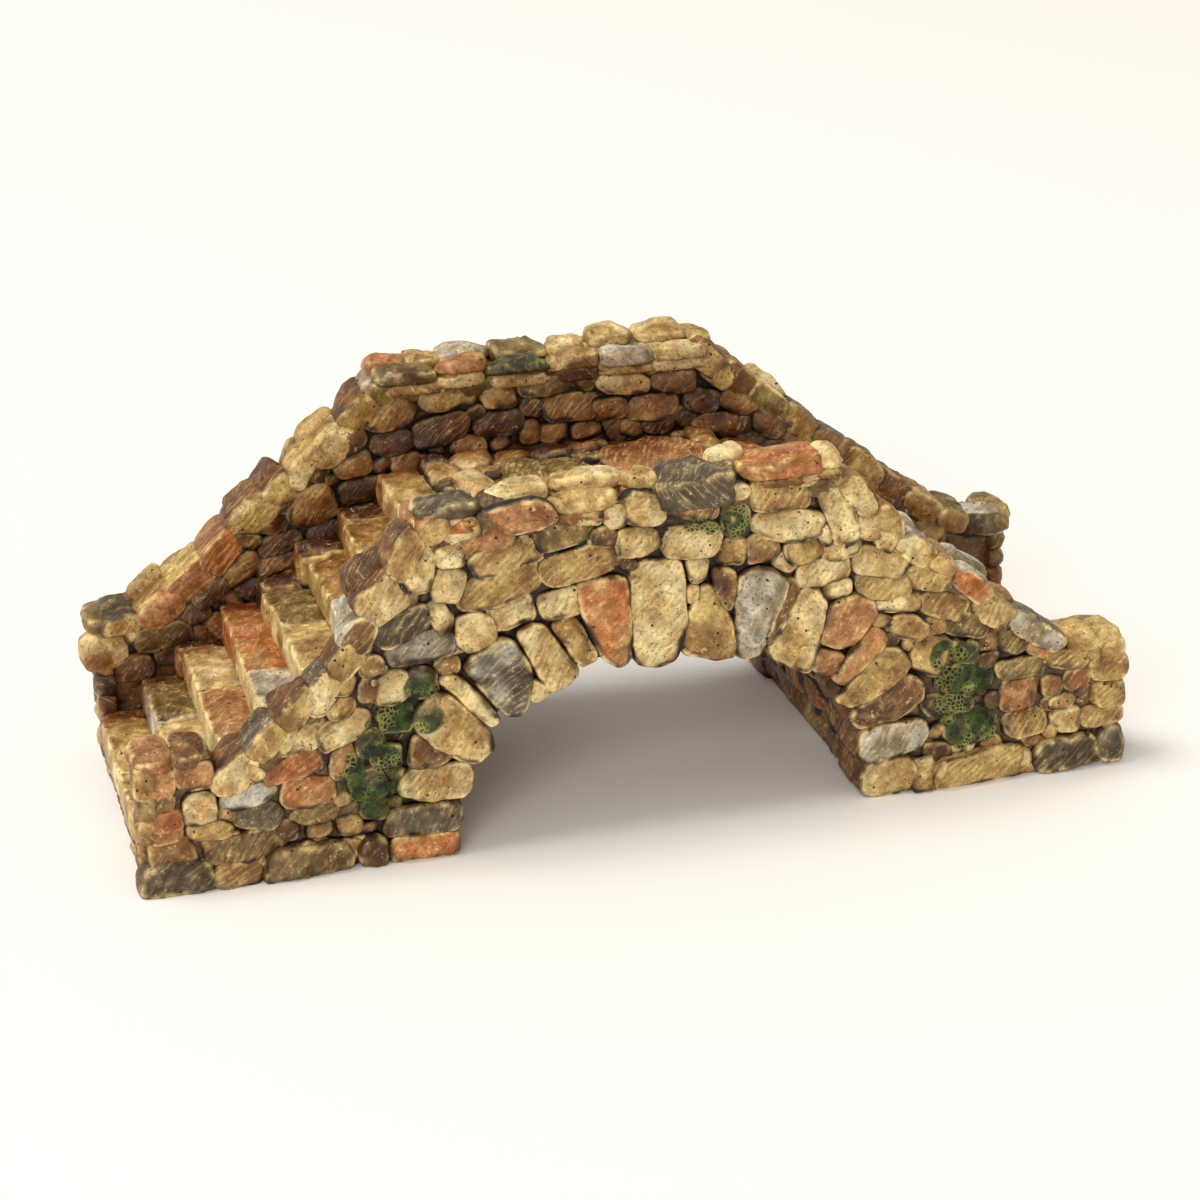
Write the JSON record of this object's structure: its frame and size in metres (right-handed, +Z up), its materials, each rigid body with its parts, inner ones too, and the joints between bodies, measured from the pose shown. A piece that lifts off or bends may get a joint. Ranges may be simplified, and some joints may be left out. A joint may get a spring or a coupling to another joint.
{
  "type": "aquarium bridge ornament",
  "caption": "Humpbacked rubble-stone footbridge for an aquarium floor, with stairs up both ends between parapet walls and an open arch that fish swim through.",
  "frame": {"origin": "middle of the base, on the floor that the bridge stands on", "axes": "+X along the walkway, +Z up, and the front wall with the low parapet faces -Y"},
  "size_m": [0.152, 0.0576, 0.0584],
  "materials": {
    "core_mortar": "matte",
    "rubble_wall": "matte",
    "ring_cream": "matte",
    "ring_tan": "matte",
    "ring_grey": "matte",
    "ring_pink": "matte",
    "tread_stone": "matte",
    "deck_flags": "matte",
    "coping_grey": "matte",
    "end_post_pink": "matte",
    "footing_dark": "matte"
  },
  "bodies": {
    "root": {"deck_flags_left": "deck_flags", "deck_flags_middle": "deck_flags", "deck_flags_right": "deck_flags", "front_coping_left_slope": "coping_grey", "front_coping_level": "coping_grey", "front_coping_right_slope": "coping_grey", "front_keystone": "ring_cream", "front_left_end_post": "end_post_pink", "front_left_footing": "footing_dark", "front_right_end_post": "end_post_pink", "front_right_footing": "footing_dark", "front_ring_stone_01": "ring_grey", "front_ring_stone_02": "ring_cream", "front_ring_stone_03": "ring_cream", "front_ring_stone_04": "ring_grey", "front_ring_stone_05": "ring_cream", "front_ring_stone_06": "ring_tan", "front_ring_stone_07": "ring_pink", "front_ring_stone_09": "ring_tan", "front_ring_stone_10": "ring_grey", "front_ring_stone_11": "ring_cream", "front_ring_stone_12": "ring_pink", "front_ring_stone_13": "ring_pink", "front_ring_stone_14": "ring_tan", "front_ring_stone_15": "ring_grey", "front_ring_stone_16": "ring_cream", "front_wall_masonry": "rubble_wall", "left_landing_slab": "tread_stone", "left_tread_1": "tread_stone", "left_tread_2": "tread_stone", "left_tread_3": "tread_stone", "left_tread_4": "tread_stone", "left_tread_5": "tread_stone", "left_tread_6": "tread_stone", "left_tread_7": "tread_stone", "rear_coping_left_slope": "coping_grey", "rear_coping_level": "coping_grey", "rear_coping_right_slope": "coping_grey", "rear_keystone": "ring_tan", "rear_left_end_post": "end_post_pink", "rear_left_footing": "footing_dark", "rear_right_end_post": "end_post_pink", "rear_right_footing": "footing_dark", "rear_ring_stone_01": "ring_cream", "rear_ring_stone_02": "ring_grey", "rear_ring_stone_03": "ring_tan", "rear_ring_stone_05": "ring_grey", "rear_ring_stone_06": "ring_tan", "rear_ring_stone_07": "ring_cream", "rear_wall_masonry": "rubble_wall", "right_landing_slab": "tread_stone", "right_tread_1": "tread_stone", "right_tread_2": "tread_stone", "right_tread_3": "tread_stone", "right_tread_4": "tread_stone", "right_tread_5": "tread_stone", "right_tread_6": "tread_stone", "right_tread_7": "tread_stone", "vaulted_core": "core_mortar"}
  },
  "joints": []
}
